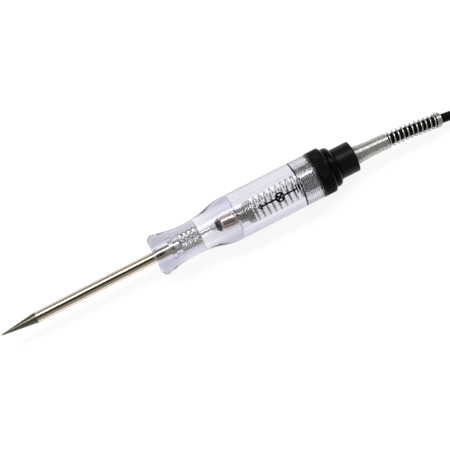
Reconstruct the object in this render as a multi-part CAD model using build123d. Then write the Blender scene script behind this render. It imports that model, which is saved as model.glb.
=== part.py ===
"""Circuit test light: probe, clear screw-on handle with its lamp, cap, strain relief, lead and clip.

Millimetres, +Z up. The tester lies on its side along X with its probe tip at -X. The origin is on
the surface it lies on, under the middle of the rigid tool. The lead leaves the rear towards +X.
"""

import math
import os

from build123d import *

os.makedirs("parts", exist_ok=True)

# ---- driving dimensions ------------------------------------------------------------------------
TOOL_LENGTH = 140.0  # probe tip to the rear face of the sleeve
COLLAR_R = 8.6  # the fattest ring, which the tool lies on
AXIS_Z = COLLAR_R
TIP_X = -TOOL_LENGTH / 2
SLEEVE_END_X = TOOL_LENGTH / 2

ROD_R = 2.0
TIP_R = 0.25
CONE_BASE_X = -56.2
TIP_CHAMFER = 0.15
NECK_R = 1.75  # a turned neck just inside the handle's nose ends the free 4 mm rod
NECK_LENGTH = 2.0
KNURL_R = 2.4
KNURL_COUNT = 14
KNURL_DEPTH = 0.21
KNURL_END = 1.0  # plain shank before and behind the knurls
RING_R = 2.7
CONTACT_PIN_R = 0.7
PIN_CHAMFER = 0.3

NOSE_X = -10.0
NOSE_BASE_X = -4.1  # bottom of the clearance hole round the rod
SHANK_START_X = -2.4
SHANK_END_X = 7.9
CONTACT_X = 12.6  # where the rod's pin meets the lamp

NOSE_R = 7.55
NOSE_ROUND = 2.45
WAIST_X = 4.4
WAIST_R = 6.03
FRONT_SWEEP_R = 43.0  # the hollow in front of the waist
REAR_SWEEP_R = 33.0  # the hollow behind it
SWEEP_TURN = math.radians(17.5)  # the slope where the hollow turns into the shoulder
BARREL_R = 8.5
FRONT_BORE_R = 4.4
MAIN_BORE_R = 5.5
BORE_STEP_X = 22.4

THREAD_R = 6.0
THREAD_PITCH = 0.75
THREAD_DEPTH = 0.46
THREAD_CLEARANCE = 0.05
THREAD_BORE_X = 47.1
PLUG_X = 48.45
BARREL_END_X = 54.2
COLLAR_CHAMFER_X = 58.9
COLLAR_END_X = 59.8
FLANGE_END_X = 62.6
SLEEVE_X = 63.1
FLANGE_R = 7.5
GROOVE_R = 5.4
SLEEVE_R = 5.65
RIB_COUNT = 60
SHANK_R = 5.0  # the plug's shank inside the collar
TAIL_R = 3.4  # the plug's tail inside the sleeve
TAIL_END_X = 66.0

LAMP_BASE_R = 2.9
LAMP_LEAN = 4.0  # degrees that the loose lamp leans in its bore

SPRING_NECK_R = 2.85  # the close turns that grip the lamp's glass
SPRING_NECK_END_X = 25.8
SPRING_FRONT_R = 4.2
SPRING_REAR_R = 4.65
SPRING_WIRE = 0.65
SPRING_TURNS = 12
SPRING_SEAT_X = 53.0
SPRING_LEAN = 1.61  # degrees, about its seat, so that its neck stays round the leaning lamp

RELIEF_WIRE = 0.55
RELIEF_R = 2.7
RELIEF_MOUTH_R = 3.35  # where the coil leaves the sleeve
RELIEF_TAPER_END_X = 76.4
RELIEF_END_X = 105.0

CORD_R = 1.5
HANK_X = 154.5  # middle of the tied hank
HANK_Y = 4.9
HANK_HALF_RUN = 22.5  # from the hank's middle to the centre of each fold
FOLD_R = 13.5  # outside of a fold, two turns of cord beyond the smallest loop
WAIST_HALF = 6.0  # half the hank's width under the tie, four cords in all
HANK_HEIGHT = 12.0  # four layers of cord
TIE_WIDTH = 3.0
TIE_THICK = 0.7

CLIP_X = 224.0  # the clip's pivot
CLIP_Y = 3.2
CLIP_Z = 4.8


def save(node, solid):
    export_step(solid, f"parts/{node}.step")


def turned(*edges):
    """A solid of revolution on the tool's axis, from edges drawn in (x, radius)."""
    return Pos(0, 0, AXIS_Z) * revolve(make_face(Wire(edges)), Axis.X)


def stepped(points):
    """A turned solid with a straight-sided profile."""
    return turned(*Polyline(*points, close=True).edges())


def ring(x0, x1, outer, inner=0.0):
    return stepped([(x0, inner), (x0, outer), (x1, outer), (x1, inner)])


def rod_along(points, radius, radii):
    """A round bar whose route is straight runs joined by tangent arcs, and its length."""
    path = FilletPolyline(*points, radius=radii)
    start = Plane(origin=path @ 0, z_dir=path % 0)
    return sweep(start * Circle(radius), path=path), path.length


def arc_radii(points):
    """The largest arc at each corner: 0.45 of its shorter run over the tangent of half its turn."""
    radii = []
    for a, b, c in zip(points, points[1:], points[2:]):
        into = Vector(*b) - Vector(*a)
        out = Vector(*c) - Vector(*b)
        half = math.radians(into.get_angle(out)) / 2
        radii.append(0.45 * min(into.length, out.length) / math.tan(half))
    return radii


# ---- probe -------------------------------------------------------------------------------------
def probe_needle():
    body = stepped(
        [
            (TIP_X, 0),
            (TIP_X, TIP_R - TIP_CHAMFER * 0.7),
            (TIP_X + TIP_CHAMFER, TIP_R),
            (CONE_BASE_X, ROD_R),
            (NOSE_X, ROD_R),
            (NOSE_X, NECK_R),
            (NOSE_X + NECK_LENGTH, NECK_R),
            (NOSE_X + NECK_LENGTH, ROD_R),
            (NOSE_BASE_X, ROD_R),
            (NOSE_BASE_X, RING_R),
            (SHANK_START_X, RING_R),
            (SHANK_START_X, KNURL_R),
            (SHANK_END_X, KNURL_R),
            (SHANK_END_X, CONTACT_PIN_R),
            (CONTACT_X - PIN_CHAMFER, CONTACT_PIN_R),
            (CONTACT_X, CONTACT_PIN_R - PIN_CHAMFER),
            (CONTACT_X, 0),
        ]
    )
    # Straight knurls that key the shank into the moulded handle.
    knurl_length = SHANK_END_X - SHANK_START_X - 2 * KNURL_END
    knurl_x = (SHANK_START_X + SHANK_END_X) / 2
    side = KNURL_DEPTH * math.sqrt(2)
    groove = Box(knurl_length, side, side)
    for i in range(KNURL_COUNT):
        turn = Rot(360 * i / KNURL_COUNT, 0, 0)
        body -= Pos(0, 0, AXIS_Z) * turn * Pos(knurl_x, 0, KNURL_R) * Rot(45, 0, 0) * groove
    return body


# ---- handle ------------------------------------------------------------------------------------
def sweep_point(radius, angle):
    """A point of a waist arc, at an angle from the waist, positive towards the rear."""
    return (
        WAIST_X + radius * math.sin(angle),
        WAIST_R + radius * (1 - math.cos(angle)),
    )


def handle_barrel():
    nose_angle = -math.asin((WAIST_X - NOSE_X - NOSE_ROUND) / FRONT_SWEEP_R)
    nose = sweep_point(FRONT_SWEEP_R, nose_angle)
    turn = sweep_point(REAR_SWEEP_R, SWEEP_TURN)
    shoulder_r = (BARREL_R - turn[1]) / (1 - math.cos(SWEEP_TURN))
    shoulder_x = turn[0] + shoulder_r * math.sin(SWEEP_TURN)
    face_r = nose[1] - NOSE_ROUND
    waist = (WAIST_X, WAIST_R)
    half_shoulder = SWEEP_TURN / 2
    shoulder_mid = (
        shoulder_x - shoulder_r * math.sin(half_shoulder),
        BARREL_R - shoulder_r * (1 - math.cos(half_shoulder)),
    )
    nose_mid = (
        NOSE_X + NOSE_ROUND * (1 - math.sqrt(0.5)),
        face_r + NOSE_ROUND * math.sqrt(0.5),
    )
    rod_hole_r = ROD_R + 0.35
    thread_bore_r = THREAD_R + THREAD_CLEARANCE
    return turned(
        Line((NOSE_X, rod_hole_r), (NOSE_X, face_r)),
        ThreePointArc((NOSE_X, face_r), nose_mid, nose),
        ThreePointArc(nose, sweep_point(FRONT_SWEEP_R, nose_angle / 2), waist),
        ThreePointArc(waist, sweep_point(REAR_SWEEP_R, SWEEP_TURN / 2), turn),
        ThreePointArc(turn, shoulder_mid, (shoulder_x, BARREL_R)),
        *Polyline(
            (shoulder_x, BARREL_R),
            (BARREL_END_X, BARREL_R),
            (BARREL_END_X, thread_bore_r),
            (THREAD_BORE_X, thread_bore_r),
            (THREAD_BORE_X, MAIN_BORE_R),
            (BORE_STEP_X, MAIN_BORE_R),
            (BORE_STEP_X, FRONT_BORE_R),
            (SHANK_END_X, FRONT_BORE_R),
            (SHANK_END_X, KNURL_R),
            (SHANK_START_X, KNURL_R),
            (SHANK_START_X, RING_R),
            (NOSE_BASE_X, RING_R),
            (NOSE_BASE_X, rod_hole_r),
            (NOSE_X, rod_hole_r),
        ).edges(),
    )


# ---- lamp --------------------------------------------------------------------------------------
CONTACT_END_X = 15.0
INSULATOR_END_X = 16.6
BASE_END_X = 22.4
GLASS_R = 2.15
GLASS_END_X = 33.0
GLASS_WALL = 0.4


def leaned(solid):
    """The lamp leans in its bore, about the point where the probe's pin touches it."""
    pivot = Pos(CONTACT_X, 0, AXIS_Z)
    return pivot * Rot(0, 0, -LAMP_LEAN) * pivot.inverse() * solid


def lamp_contact_button():
    # The pin meets it near its middle, so its front is flat there and round beyond.
    front = CONTACT_X + 0.05
    return turned(
        Line((front, 0), (front, 0.4)),
        ThreePointArc((front, 0.4), (front + 0.3, 0.8), (front + 0.9, 1.0)),
        Line((front + 0.9, 1.0), (CONTACT_END_X, 1.0)),
        Line((CONTACT_END_X, 1.0), (CONTACT_END_X, 0)),
        Line((CONTACT_END_X, 0), (front, 0)),
    )


def lamp_insulator():
    return stepped(
        [
            (CONTACT_END_X, 0),
            (CONTACT_END_X, 1.35),
            (INSULATOR_END_X - 0.3, LAMP_BASE_R - 0.5),
            (INSULATOR_END_X, LAMP_BASE_R - 0.5),
            (INSULATOR_END_X, 0),
        ]
    )


def lamp_base_shell():
    shell = stepped(
        [
            (INSULATOR_END_X, 0.9),
            (INSULATOR_END_X, LAMP_BASE_R - 0.5),
            (INSULATOR_END_X + 0.5, LAMP_BASE_R),
            (BASE_END_X, LAMP_BASE_R),
            (BASE_END_X, LAMP_BASE_R - 0.35),
            (INSULATOR_END_X + 0.9, LAMP_BASE_R - 0.35),
            (INSULATOR_END_X + 0.9, 0.9),
        ]
    )
    # The two bayonet pins of the lamp's base.
    for side in (1, -1):
        pin = Cylinder(0.45, 0.6)
        shell += Pos(INSULATOR_END_X + 2.6, 0, AXIS_Z + side * (LAMP_BASE_R + 0.1)) * pin
    return shell


def lamp_glass():
    inner = GLASS_R - GLASS_WALL
    neck_x = INSULATOR_END_X + 1.2
    dome_x = GLASS_END_X - GLASS_R
    mid = math.sqrt(0.5)
    return turned(
        Line((neck_x, inner), (neck_x, GLASS_R)),
        Line((neck_x, GLASS_R), (dome_x, GLASS_R)),
        ThreePointArc((dome_x, GLASS_R), (dome_x + GLASS_R * mid, GLASS_R * mid), (GLASS_END_X, 0)),
        Line((GLASS_END_X, 0), (GLASS_END_X - GLASS_WALL, 0)),
        ThreePointArc(
            (GLASS_END_X - GLASS_WALL, 0),
            (dome_x + inner * mid, inner * mid),
            (dome_x, inner),
        ),
        Line((dome_x, inner), (neck_x, inner)),
    )


FILAMENT_X = 29.0
STEM_END_X = 24.0
SUPPORT_Y = 1.0


def lamp_stem():
    """The pressed glass stem that holds the filament's supports."""
    return ring(INSULATOR_END_X + 1.2, STEM_END_X, 1.4)


def lamp_filament():
    wire = 0.2
    supports = Part()
    for side in (1, -1):
        length = FILAMENT_X - STEM_END_X
        post = Rot(0, 90, 0) * Cylinder(wire, length)
        supports += Pos(STEM_END_X + length / 2, side * SUPPORT_Y, AXIS_Z) * post
    coil = Rot(90, 0, 0) * Cylinder(0.28, 2 * SUPPORT_Y + 0.6)
    return supports + Pos(FILAMENT_X, 0, AXIS_Z) * coil


def lamp_spring():
    """The contact spring as a closed corrugated tube, one ridge for each turn."""
    pitch = (SPRING_SEAT_X - SPRING_NECK_END_X) / SPRING_TURNS
    growth = (SPRING_REAR_R - SPRING_FRONT_R) / SPRING_TURNS
    valley = 0.3
    neck_bore_r = SPRING_NECK_R - 0.45
    front = BASE_END_X + 0.3
    outer = [(front, neck_bore_r), (front, SPRING_NECK_R), (SPRING_NECK_END_X, SPRING_NECK_R)]
    for i in range(SPRING_TURNS):
        start = SPRING_NECK_END_X + i * pitch
        crest_r = SPRING_FRONT_R + i * growth
        outer += [(start, crest_r - valley), (start + pitch / 2, crest_r)]
    outer.append((SPRING_SEAT_X, SPRING_REAR_R - valley))
    shoulder_x = SPRING_NECK_END_X + SPRING_WIRE
    inner = [
        (SPRING_SEAT_X, SPRING_REAR_R - SPRING_WIRE),
        (shoulder_x, SPRING_FRONT_R - SPRING_WIRE),
        (shoulder_x, neck_bore_r),
    ]
    seat = Pos(SPRING_SEAT_X, 0, AXIS_Z)
    return seat * Rot(0, 0, SPRING_LEAN) * seat.inverse() * stepped(outer + inner)


# ---- cap and plug ------------------------------------------------------------------------------
def threaded_plug():
    counterbore_r = SPRING_REAR_R + 0.2
    groove_count = int((BARREL_END_X - PLUG_X) / THREAD_PITCH)
    profile = [(PLUG_X, counterbore_r), (PLUG_X, THREAD_R - THREAD_DEPTH)]
    for i in range(groove_count):
        root = PLUG_X + (i + 0.25) * THREAD_PITCH
        profile += [
            (root + 0.20 * THREAD_PITCH, THREAD_R),
            (root + 0.32 * THREAD_PITCH, THREAD_R),
            (root + 0.62 * THREAD_PITCH, THREAD_R - THREAD_DEPTH),
        ]
    profile += [
        (BARREL_END_X, THREAD_R - THREAD_DEPTH),
        (BARREL_END_X, SHANK_R),
        (FLANGE_END_X, SHANK_R),
        (FLANGE_END_X, TAIL_R),
        (TAIL_END_X, TAIL_R),
        (TAIL_END_X, CORD_R + 0.05),
        (BARREL_END_X + 3.0, CORD_R + 0.05),
        (BARREL_END_X + 3.0, 1.2),
        (SPRING_SEAT_X + 0.5, 1.2),
        (SPRING_SEAT_X + 0.5, counterbore_r),
    ]
    return stepped(profile)


def screw_cap():
    body = stepped(
        [
            (BARREL_END_X, SHANK_R),
            (BARREL_END_X, COLLAR_R),
            (COLLAR_CHAMFER_X, COLLAR_R),
            (COLLAR_END_X, FLANGE_R),
            (FLANGE_END_X - 1.3, FLANGE_R),
            (FLANGE_END_X - 0.4, FLANGE_R - 0.4),
            (FLANGE_END_X, FLANGE_R - 1.3),
            (FLANGE_END_X, SHANK_R),
        ]
    )
    # Fine straight ribs for the fingers, cut between their crests.
    rib_length = COLLAR_CHAMFER_X - BARREL_END_X - 1.2
    rib_x = BARREL_END_X + 0.6 + rib_length / 2
    groove = Box(rib_length, 0.35, 0.35)
    for i in range(RIB_COUNT):
        turn = Rot(360 * i / RIB_COUNT, 0, 0)
        body -= Pos(0, 0, AXIS_Z) * turn * Pos(rib_x, 0, COLLAR_R) * Rot(45, 0, 0) * groove
    return body


RELIEF_CAVITY_R = 4.1
SLEEVE_MOUTH_R = 3.4
CAVITY_END_X = SLEEVE_END_X - 1.0


def rear_sleeve():
    rounding = 0.9
    return turned(
        Line((FLANGE_END_X, TAIL_R), (FLANGE_END_X, GROOVE_R)),
        Line((FLANGE_END_X, GROOVE_R), (SLEEVE_X, GROOVE_R)),
        Line((SLEEVE_X, GROOVE_R), (SLEEVE_X, SLEEVE_R)),
        Line((SLEEVE_X, SLEEVE_R), (SLEEVE_END_X - rounding, SLEEVE_R)),
        ThreePointArc(
            (SLEEVE_END_X - rounding, SLEEVE_R),
            (SLEEVE_END_X - rounding * (1 - math.sqrt(0.5)), SLEEVE_R - rounding * (1 - math.sqrt(0.5))),
            (SLEEVE_END_X, SLEEVE_R - rounding),
        ),
        *Polyline(
            (SLEEVE_END_X, SLEEVE_R - rounding),
            (SLEEVE_END_X, SLEEVE_MOUTH_R),
            (CAVITY_END_X, SLEEVE_MOUTH_R),
            (CAVITY_END_X - 0.5, RELIEF_CAVITY_R),
            (TAIL_END_X, RELIEF_CAVITY_R),
            (TAIL_END_X, TAIL_R),
            (FLANGE_END_X, TAIL_R),
        ).edges(),
    )


def cord_terminal():
    """The brass eyelet in the plug's floor, which the cord's conductor is soldered into."""
    return stepped(
        [
            (SPRING_SEAT_X, 0.7),
            (SPRING_SEAT_X, 3.2),
            (SPRING_SEAT_X + 0.5, 3.2),
            (SPRING_SEAT_X + 0.5, 1.2),
            (BARREL_END_X + 2.0, 1.2),
            (BARREL_END_X + 2.0, 0.7),
        ]
    )


def conductor_strands():
    """The bared end of the cord's copper."""
    return ring(SPRING_SEAT_X, BARREL_END_X + 3.0, 0.7)


def strain_relief_spring():
    """The coil round the cord, as a tube: flared inside the sleeve, tapered, then even."""
    flare_x = TAIL_END_X + 0.5
    flared = stepped(
        [
            (flare_x, RELIEF_CAVITY_R - 0.1 - RELIEF_WIRE),
            (flare_x, RELIEF_CAVITY_R - 0.1),
            (CAVITY_END_X - 1.0, RELIEF_CAVITY_R - 0.1),
            (CAVITY_END_X, RELIEF_MOUTH_R),
            (SLEEVE_END_X, RELIEF_MOUTH_R),
            (RELIEF_TAPER_END_X, RELIEF_R),
            (RELIEF_TAPER_END_X, RELIEF_R - RELIEF_WIRE),
            (SLEEVE_END_X, RELIEF_MOUTH_R - RELIEF_WIRE),
            (CAVITY_END_X, RELIEF_MOUTH_R - RELIEF_WIRE),
            (CAVITY_END_X - 1.0, RELIEF_CAVITY_R - 0.1 - RELIEF_WIRE),
        ]
    )
    path = FilletPolyline(*LEAD_ROUTE, radius=arc_radii(LEAD_ROUTE))
    begin = (RELIEF_TAPER_END_X - CORD_START_X) / path.length
    end = (RELIEF_END_X - CORD_START_X) / path.length
    along = path.trim(begin, end)
    wall = Circle(RELIEF_R) - Circle(RELIEF_R - RELIEF_WIRE)
    even = sweep(Plane(origin=along @ 0, z_dir=along % 0) * wall, path=along)
    return flared + even


# ---- cord --------------------------------------------------------------------------------------
CORD_START_X = BARREL_END_X + 3.0
HANK_SIDE_Y = HANK_Y - (FOLD_R - CORD_R)  # the outer turn's run on the side that faces -Y
HANK_TOP_Z = HANK_HEIGHT - CORD_R
CLIP_ENTRY_X = CLIP_X - 22.8  # the rear face of the fixed handle's cover
CLIP_ENTRY_Y = CLIP_Y - 7.0

LEAD_ROUTE = [
    (CORD_START_X, 0, AXIS_Z),
    (86.0, 0, AXIS_Z),
    (100.5, -1.0, 7.0),
    (113.5, -3.3, 3.6),
    (124.0, -6.2, CORD_R),
    (HANK_X - HANK_HALF_RUN, HANK_SIDE_Y, CORD_R),
    (HANK_X - HANK_HALF_RUN + 8.0, HANK_SIDE_Y + 1.0, CORD_R),
]
TAIL_ROUTE = [
    (HANK_X + HANK_HALF_RUN - 10.5, HANK_SIDE_Y + 1.4, HANK_TOP_Z),
    (HANK_X + HANK_HALF_RUN + 1.0, HANK_SIDE_Y, HANK_TOP_Z),
    (CLIP_ENTRY_X - 7.5, CLIP_ENTRY_Y, CLIP_Z),
    (CLIP_ENTRY_X, CLIP_ENTRY_Y, CLIP_Z),
]


def cord_tube(name, route):
    radii = arc_radii(route)
    tube, length = rod_along(route, CORD_R, radii)
    ideal = math.pi * CORD_R**2 * length
    print(
        f"{name}: length {length:.1f} mm, volume over section x length {tube.volume / ideal:.4f},",
        "radii " + ", ".join(f"{r:.1f}" for r in radii),
    )
    return tube


def hank_outline():
    """The plan of the tied hank: two round folds drawn together under the tie by hollow arcs."""
    drop = FOLD_R - WAIST_HALF
    # The hollow arc touches both folds from outside and leaves the waist's half width.
    centre_y = (HANK_HALF_RUN**2 - drop**2) / (2 * drop)
    hollow_r = centre_y - WAIST_HALF
    share = FOLD_R / (FOLD_R + hollow_r)
    touch = (HANK_HALF_RUN * (1 - share), centre_y * share)
    corners = {(sx, sy): (sx * touch[0], sy * touch[1]) for sx in (1, -1) for sy in (1, -1)}
    end = HANK_HALF_RUN + FOLD_R
    return make_face(
        Wire(
            [
                ThreePointArc(corners[1, -1], (end, 0), corners[1, 1]),
                ThreePointArc(corners[1, 1], (0, WAIST_HALF), corners[-1, 1]),
                ThreePointArc(corners[-1, 1], (-end, 0), corners[-1, -1]),
                ThreePointArc(corners[-1, -1], (0, -WAIST_HALF), corners[1, -1]),
            ]
        )
    )


def cord_hank():
    block = extrude(hank_outline(), HANK_HEIGHT)
    # The tie passes under and over the bundle in a shallow notch.
    notch = Box(TIE_WIDTH, 4 * WAIST_HALF, TIE_THICK)
    block -= Pos(0, 0, TIE_THICK / 2) * notch
    block -= Pos(0, 0, HANK_HEIGHT - TIE_THICK / 2) * notch
    return Pos(HANK_X, HANK_Y, 0) * block


def hank_tie():
    half = WAIST_HALF + 0.45
    outer = Box(TIE_WIDTH, 2 * (half + TIE_THICK), HANK_HEIGHT)
    inner = Box(TIE_WIDTH, 2 * half, HANK_HEIGHT - 2 * TIE_THICK)
    return Pos(HANK_X, HANK_Y, HANK_HEIGHT / 2) * (outer - inner)


# ---- clip --------------------------------------------------------------------------------------
# The clip is drawn in its own frame: x along it from the pivot to the jaws, y away from the line
# where the jaws meet, z across it. It lies on its side, so its pivot pin is upright.
SHEET = 0.7
CLIP_HALF_WIDTH = 4.0
SIDE_GAP = 0.1  # the moving half nests between the fixed half's side walls
MOVING_HALF_WIDTH = CLIP_HALF_WIDTH - SHEET - SIDE_GAP
JAW_LENGTH = 24.0
JAW_TIP_Y = 1.6
JAW_BACK_Y = 4.2
HANDLE_LENGTH = 21.0
HANDLE_DEPTH = 2.2  # of its rolled side walls
HANDLE_ROOT = (-3.0, 4.4)
HANDLE_BEND = (-0.55 * HANDLE_LENGTH, 6.2)
HANDLE_REAR = (-HANDLE_LENGTH, 8.4)
EAR_R = 3.0
PIN_R = 1.0
PIN_CLEARANCE = 0.05
PIN_HEAD_R = 1.6
PIN_HEAD = 0.4
TOOTH_PITCH = 2.0
TOOTH_DEPTH = 0.88
TOOTH_GAP = 0.12  # from a tooth's crest to the line where the jaws meet
TEETH = 7
SPRING_LEG = 6.5
SPRING_LEG_LEAN = 12
SPRING_LEG_R = 0.3
SPRING_HALF = 1.6  # half the coil's length along the pin
SPRING_COIL_R = 1.9
BOOT_WALL = 0.7
BOOT_START = 7.0  # behind the pivot
BOOT_END = 1.8  # beyond the handle, at the rear
BOOT_END_WIDTH = 3.4


def clip_back():
    """The back line of one half of the clip, from the handle's rear to the jaw's tip."""
    return [
        HANDLE_REAR,
        HANDLE_BEND,
        HANDLE_ROOT,
        (-HANDLE_ROOT[0], JAW_BACK_Y),
        (0.8 * JAW_LENGTH, 0.76 * JAW_BACK_Y),
        (JAW_LENGTH, JAW_TIP_Y),
    ]


def handle_under():
    """The lower edge of a handle's side walls, from the pivot to the rear."""
    return [(x, y - HANDLE_DEPTH) for x, y in (HANDLE_ROOT, HANDLE_BEND, HANDLE_REAR)]


def clip_side_profile():
    """The outline of one half of the clip, seen along its pivot."""
    teeth = []
    for i in range(TEETH):
        x = JAW_LENGTH - i * TOOTH_PITCH
        teeth += [(x, TOOTH_GAP), (x - TOOTH_PITCH / 2, TOOTH_GAP + TOOTH_DEPTH)]
    throat_y = TOOTH_GAP + TOOTH_DEPTH
    throat = [(JAW_LENGTH - TEETH * TOOTH_PITCH, throat_y), (EAR_R, throat_y)]
    return clip_back() + teeth + throat + handle_under()


def upright(outline, half_height):
    """A plate of the clip, with its outline drawn in x and y and its middle on z = 0."""
    return Pos(0, 0, -half_height) * extrude(outline, 2 * half_height)


def clip_half(half_width):
    """One stamped half: a channel with toothed edges, a handle, and an ear each side of the pin."""
    outline = make_face(Polyline(*clip_side_profile(), close=True))
    solid = upright(outline, half_width) + upright(Circle(EAR_R), half_width)
    inside = [(min(x, JAW_LENGTH - SHEET), y - SHEET) for x, y in clip_back()]
    below = [(JAW_LENGTH - SHEET, -EAR_R - 1), (-HANDLE_LENGTH - 1, -EAR_R - 1)]
    rear = [(-HANDLE_LENGTH - 1, HANDLE_REAR[1] - SHEET)]
    hollow = make_face(Polyline(*inside, *below, *rear, close=True))
    return solid - upright(hollow, half_width - SHEET)


def placed_clip(solid):
    return Pos(CLIP_X, CLIP_Y, CLIP_Z) * solid


def clip_moving_jaw():
    hole = Cylinder(PIN_R + PIN_CLEARANCE, 4 * CLIP_HALF_WIDTH)
    return placed_clip(clip_half(MOVING_HALF_WIDTH) - hole)


def clip_fixed_jaw():
    hole = Cylinder(PIN_R, 4 * CLIP_HALF_WIDTH)
    return placed_clip(Rot(180, 0, 0) * clip_half(CLIP_HALF_WIDTH) - hole)


def clip_pivot_pin():
    pin = Cylinder(PIN_R, 2 * CLIP_HALF_WIDTH)
    head = Cylinder(PIN_HEAD_R, PIN_HEAD)
    for side in (1, -1):
        pin += Pos(0, 0, side * (CLIP_HALF_WIDTH + PIN_HEAD / 2)) * head
    return placed_clip(pin)


def clip_torsion_spring():
    """The coils round the pin and one leg under each handle."""
    coil = Cylinder(SPRING_COIL_R, 2 * SPRING_HALF) - Cylinder(PIN_R + 0.3, 2 * SPRING_HALF)
    leg = Pos(-SPRING_LEG / 2, 0, 0) * Rot(0, 90, 0) * Cylinder(SPRING_LEG_R, SPRING_LEG)
    legs = Part()
    for side in (1, -1):
        root = Pos(0, side * (SPRING_COIL_R - SPRING_LEG_R), side * (SPRING_HALF - 2 * SPRING_LEG_R))
        legs += root * Rot(0, 0, -side * SPRING_LEG_LEAN) * leg
    return placed_clip(coil + (legs - Cylinder(SPRING_COIL_R - 0.05, 4 * SPRING_HALF)))


def handle_outline():
    """The side outline of a handle, plate and side walls together."""
    return make_face(Polyline(HANDLE_ROOT, HANDLE_BEND, HANDLE_REAR, *handle_under()[::-1], close=True))


def handle_cover(half_width):
    """The soft cover of a handle: closed at the rear, open towards the pivot."""
    outer_half = half_width + BOOT_WALL
    grown = upright(offset(handle_outline(), BOOT_WALL, kind=Kind.INTERSECTION), outer_half)
    open_end = Pos(0, HANDLE_ROOT[1], 0) * Box(2 * BOOT_START, HANDLE_LENGTH, HANDLE_LENGTH)
    rear_y = HANDLE_REAR[1] - HANDLE_DEPTH / 2
    rear = Pos(-HANDLE_LENGTH - BOOT_END / 2, rear_y, 0) * Box(BOOT_END, BOOT_END_WIDTH, 2 * outer_half)
    return grown + rear - open_end - upright(handle_outline(), half_width)


def clip_moving_boot():
    return placed_clip(handle_cover(MOVING_HALF_WIDTH))


def clip_fixed_boot():
    return placed_clip(Rot(180, 0, 0) * handle_cover(CLIP_HALF_WIDTH))


if __name__ == "__main__":
    save("probe_needle", probe_needle())
    save("handle_barrel", handle_barrel())
    save("lamp_contact_button", leaned(lamp_contact_button()))
    save("lamp_insulator", leaned(lamp_insulator()))
    save("lamp_base_shell", leaned(lamp_base_shell()))
    save("lamp_glass", leaned(lamp_glass()))
    save("lamp_stem", leaned(lamp_stem()))
    save("lamp_filament", leaned(lamp_filament()))
    save("lamp_spring", lamp_spring())
    save("threaded_plug", threaded_plug())
    save("screw_cap", screw_cap())
    save("rear_sleeve", rear_sleeve())
    save("strain_relief_spring", strain_relief_spring())
    save("cord_terminal", cord_terminal())
    save("conductor_strands", conductor_strands())
    save("cord_lead", cord_tube("cord_lead", LEAD_ROUTE))
    save("cord_tail", cord_tube("cord_tail", TAIL_ROUTE))
    save("cord_hank", cord_hank())
    save("hank_tie", hank_tie())
    save("clip_fixed_jaw", clip_fixed_jaw())
    save("clip_moving_jaw", clip_moving_jaw())
    save("clip_pivot_pin", clip_pivot_pin())
    save("clip_torsion_spring", clip_torsion_spring())
    save("clip_fixed_boot", clip_fixed_boot())
    save("clip_moving_boot", clip_moving_boot())
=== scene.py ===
import math

import bmesh
import bpy
import numpy as np
from mathutils import Matrix, Vector


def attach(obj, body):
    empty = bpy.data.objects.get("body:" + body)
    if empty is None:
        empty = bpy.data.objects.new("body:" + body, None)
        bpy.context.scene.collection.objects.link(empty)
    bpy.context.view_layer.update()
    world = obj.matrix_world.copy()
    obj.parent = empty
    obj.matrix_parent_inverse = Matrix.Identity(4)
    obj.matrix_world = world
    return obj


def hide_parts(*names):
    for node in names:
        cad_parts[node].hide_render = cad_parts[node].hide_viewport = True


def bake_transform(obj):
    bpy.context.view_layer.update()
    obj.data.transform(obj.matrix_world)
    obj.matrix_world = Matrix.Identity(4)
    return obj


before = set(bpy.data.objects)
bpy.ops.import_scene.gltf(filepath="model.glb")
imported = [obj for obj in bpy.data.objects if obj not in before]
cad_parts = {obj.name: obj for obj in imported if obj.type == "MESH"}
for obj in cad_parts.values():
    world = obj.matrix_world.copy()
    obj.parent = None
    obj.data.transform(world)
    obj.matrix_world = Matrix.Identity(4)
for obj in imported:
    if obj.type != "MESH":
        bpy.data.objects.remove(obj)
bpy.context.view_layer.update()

# Sizes and places are in millimetres, as in the part's source. MM turns them into metres.
MM = 0.001

# ---- driving dimensions ------------------------------------------------------------------------
AXIS_Z = 8.6
TIP_X = -70.0
CONE_BASE_X = -56.2
ROD_R = 2.0
NECK_R = 1.75
NECK_LENGTH = 2.0
KNURL_R = 2.4
KNURL_COUNT = 14
RING_R = 2.7
CONTACT_PIN_R = 0.7

NOSE_X = -10.0
NOSE_BASE_X = -4.1
SHANK_START_X = -2.4
SHANK_START_R = 1.95
SHANK_END_X = 7.9
CONTACT_X = 12.6
NOSE_ROUND = 2.45
WAIST_X = 4.4
WAIST_R = 6.03
FRONT_SWEEP_R = 43.0
REAR_SWEEP_R = 33.0
SWEEP_TURN = math.radians(17.5)
BARREL_R = 8.5
FRONT_BORE_R = 4.4
MAIN_BORE_R = 5.5
BORE_STEP_X = 22.4

THREAD_R = 6.0
THREAD_PITCH = 0.75
THREAD_DEPTH = 0.46
THREAD_CLEARANCE = 0.05
THREAD_BORE_X = 47.1
PLUG_X = 48.45
BARREL_END_X = 54.2
CONDUCTOR_END_X = BARREL_END_X + 3.0
COLLAR_R = 8.6
COLLAR_CHAMFER_X = 58.9
COLLAR_END_X = 59.8
FLANGE_END_X = 62.6
FLANGE_R = 7.5
GROOVE_R = 5.4
SLEEVE_X = 63.1
SLEEVE_R = 5.78
SLEEVE_END_X = 70.0
RIB_COUNT = 60
RIB_DEPTH = 0.17

CORD_R = 1.5
HANK = Vector((154.5, 4.9))
HANK_HALF_RUN = 22.5
FOLD_R = 13.5
WAIST_HALF = 6.0
HANK_HEIGHT = 12.0
HANK_SIDE_Y = HANK.y - (FOLD_R - CORD_R)
HANK_TOP_Z = HANK_HEIGHT - CORD_R
CLIP = Vector((224.0, 3.2, 4.8))
CLIP_ENTRY_X = CLIP.x - 22.8
CLIP_ENTRY_Y = CLIP.y - 7.0


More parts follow.
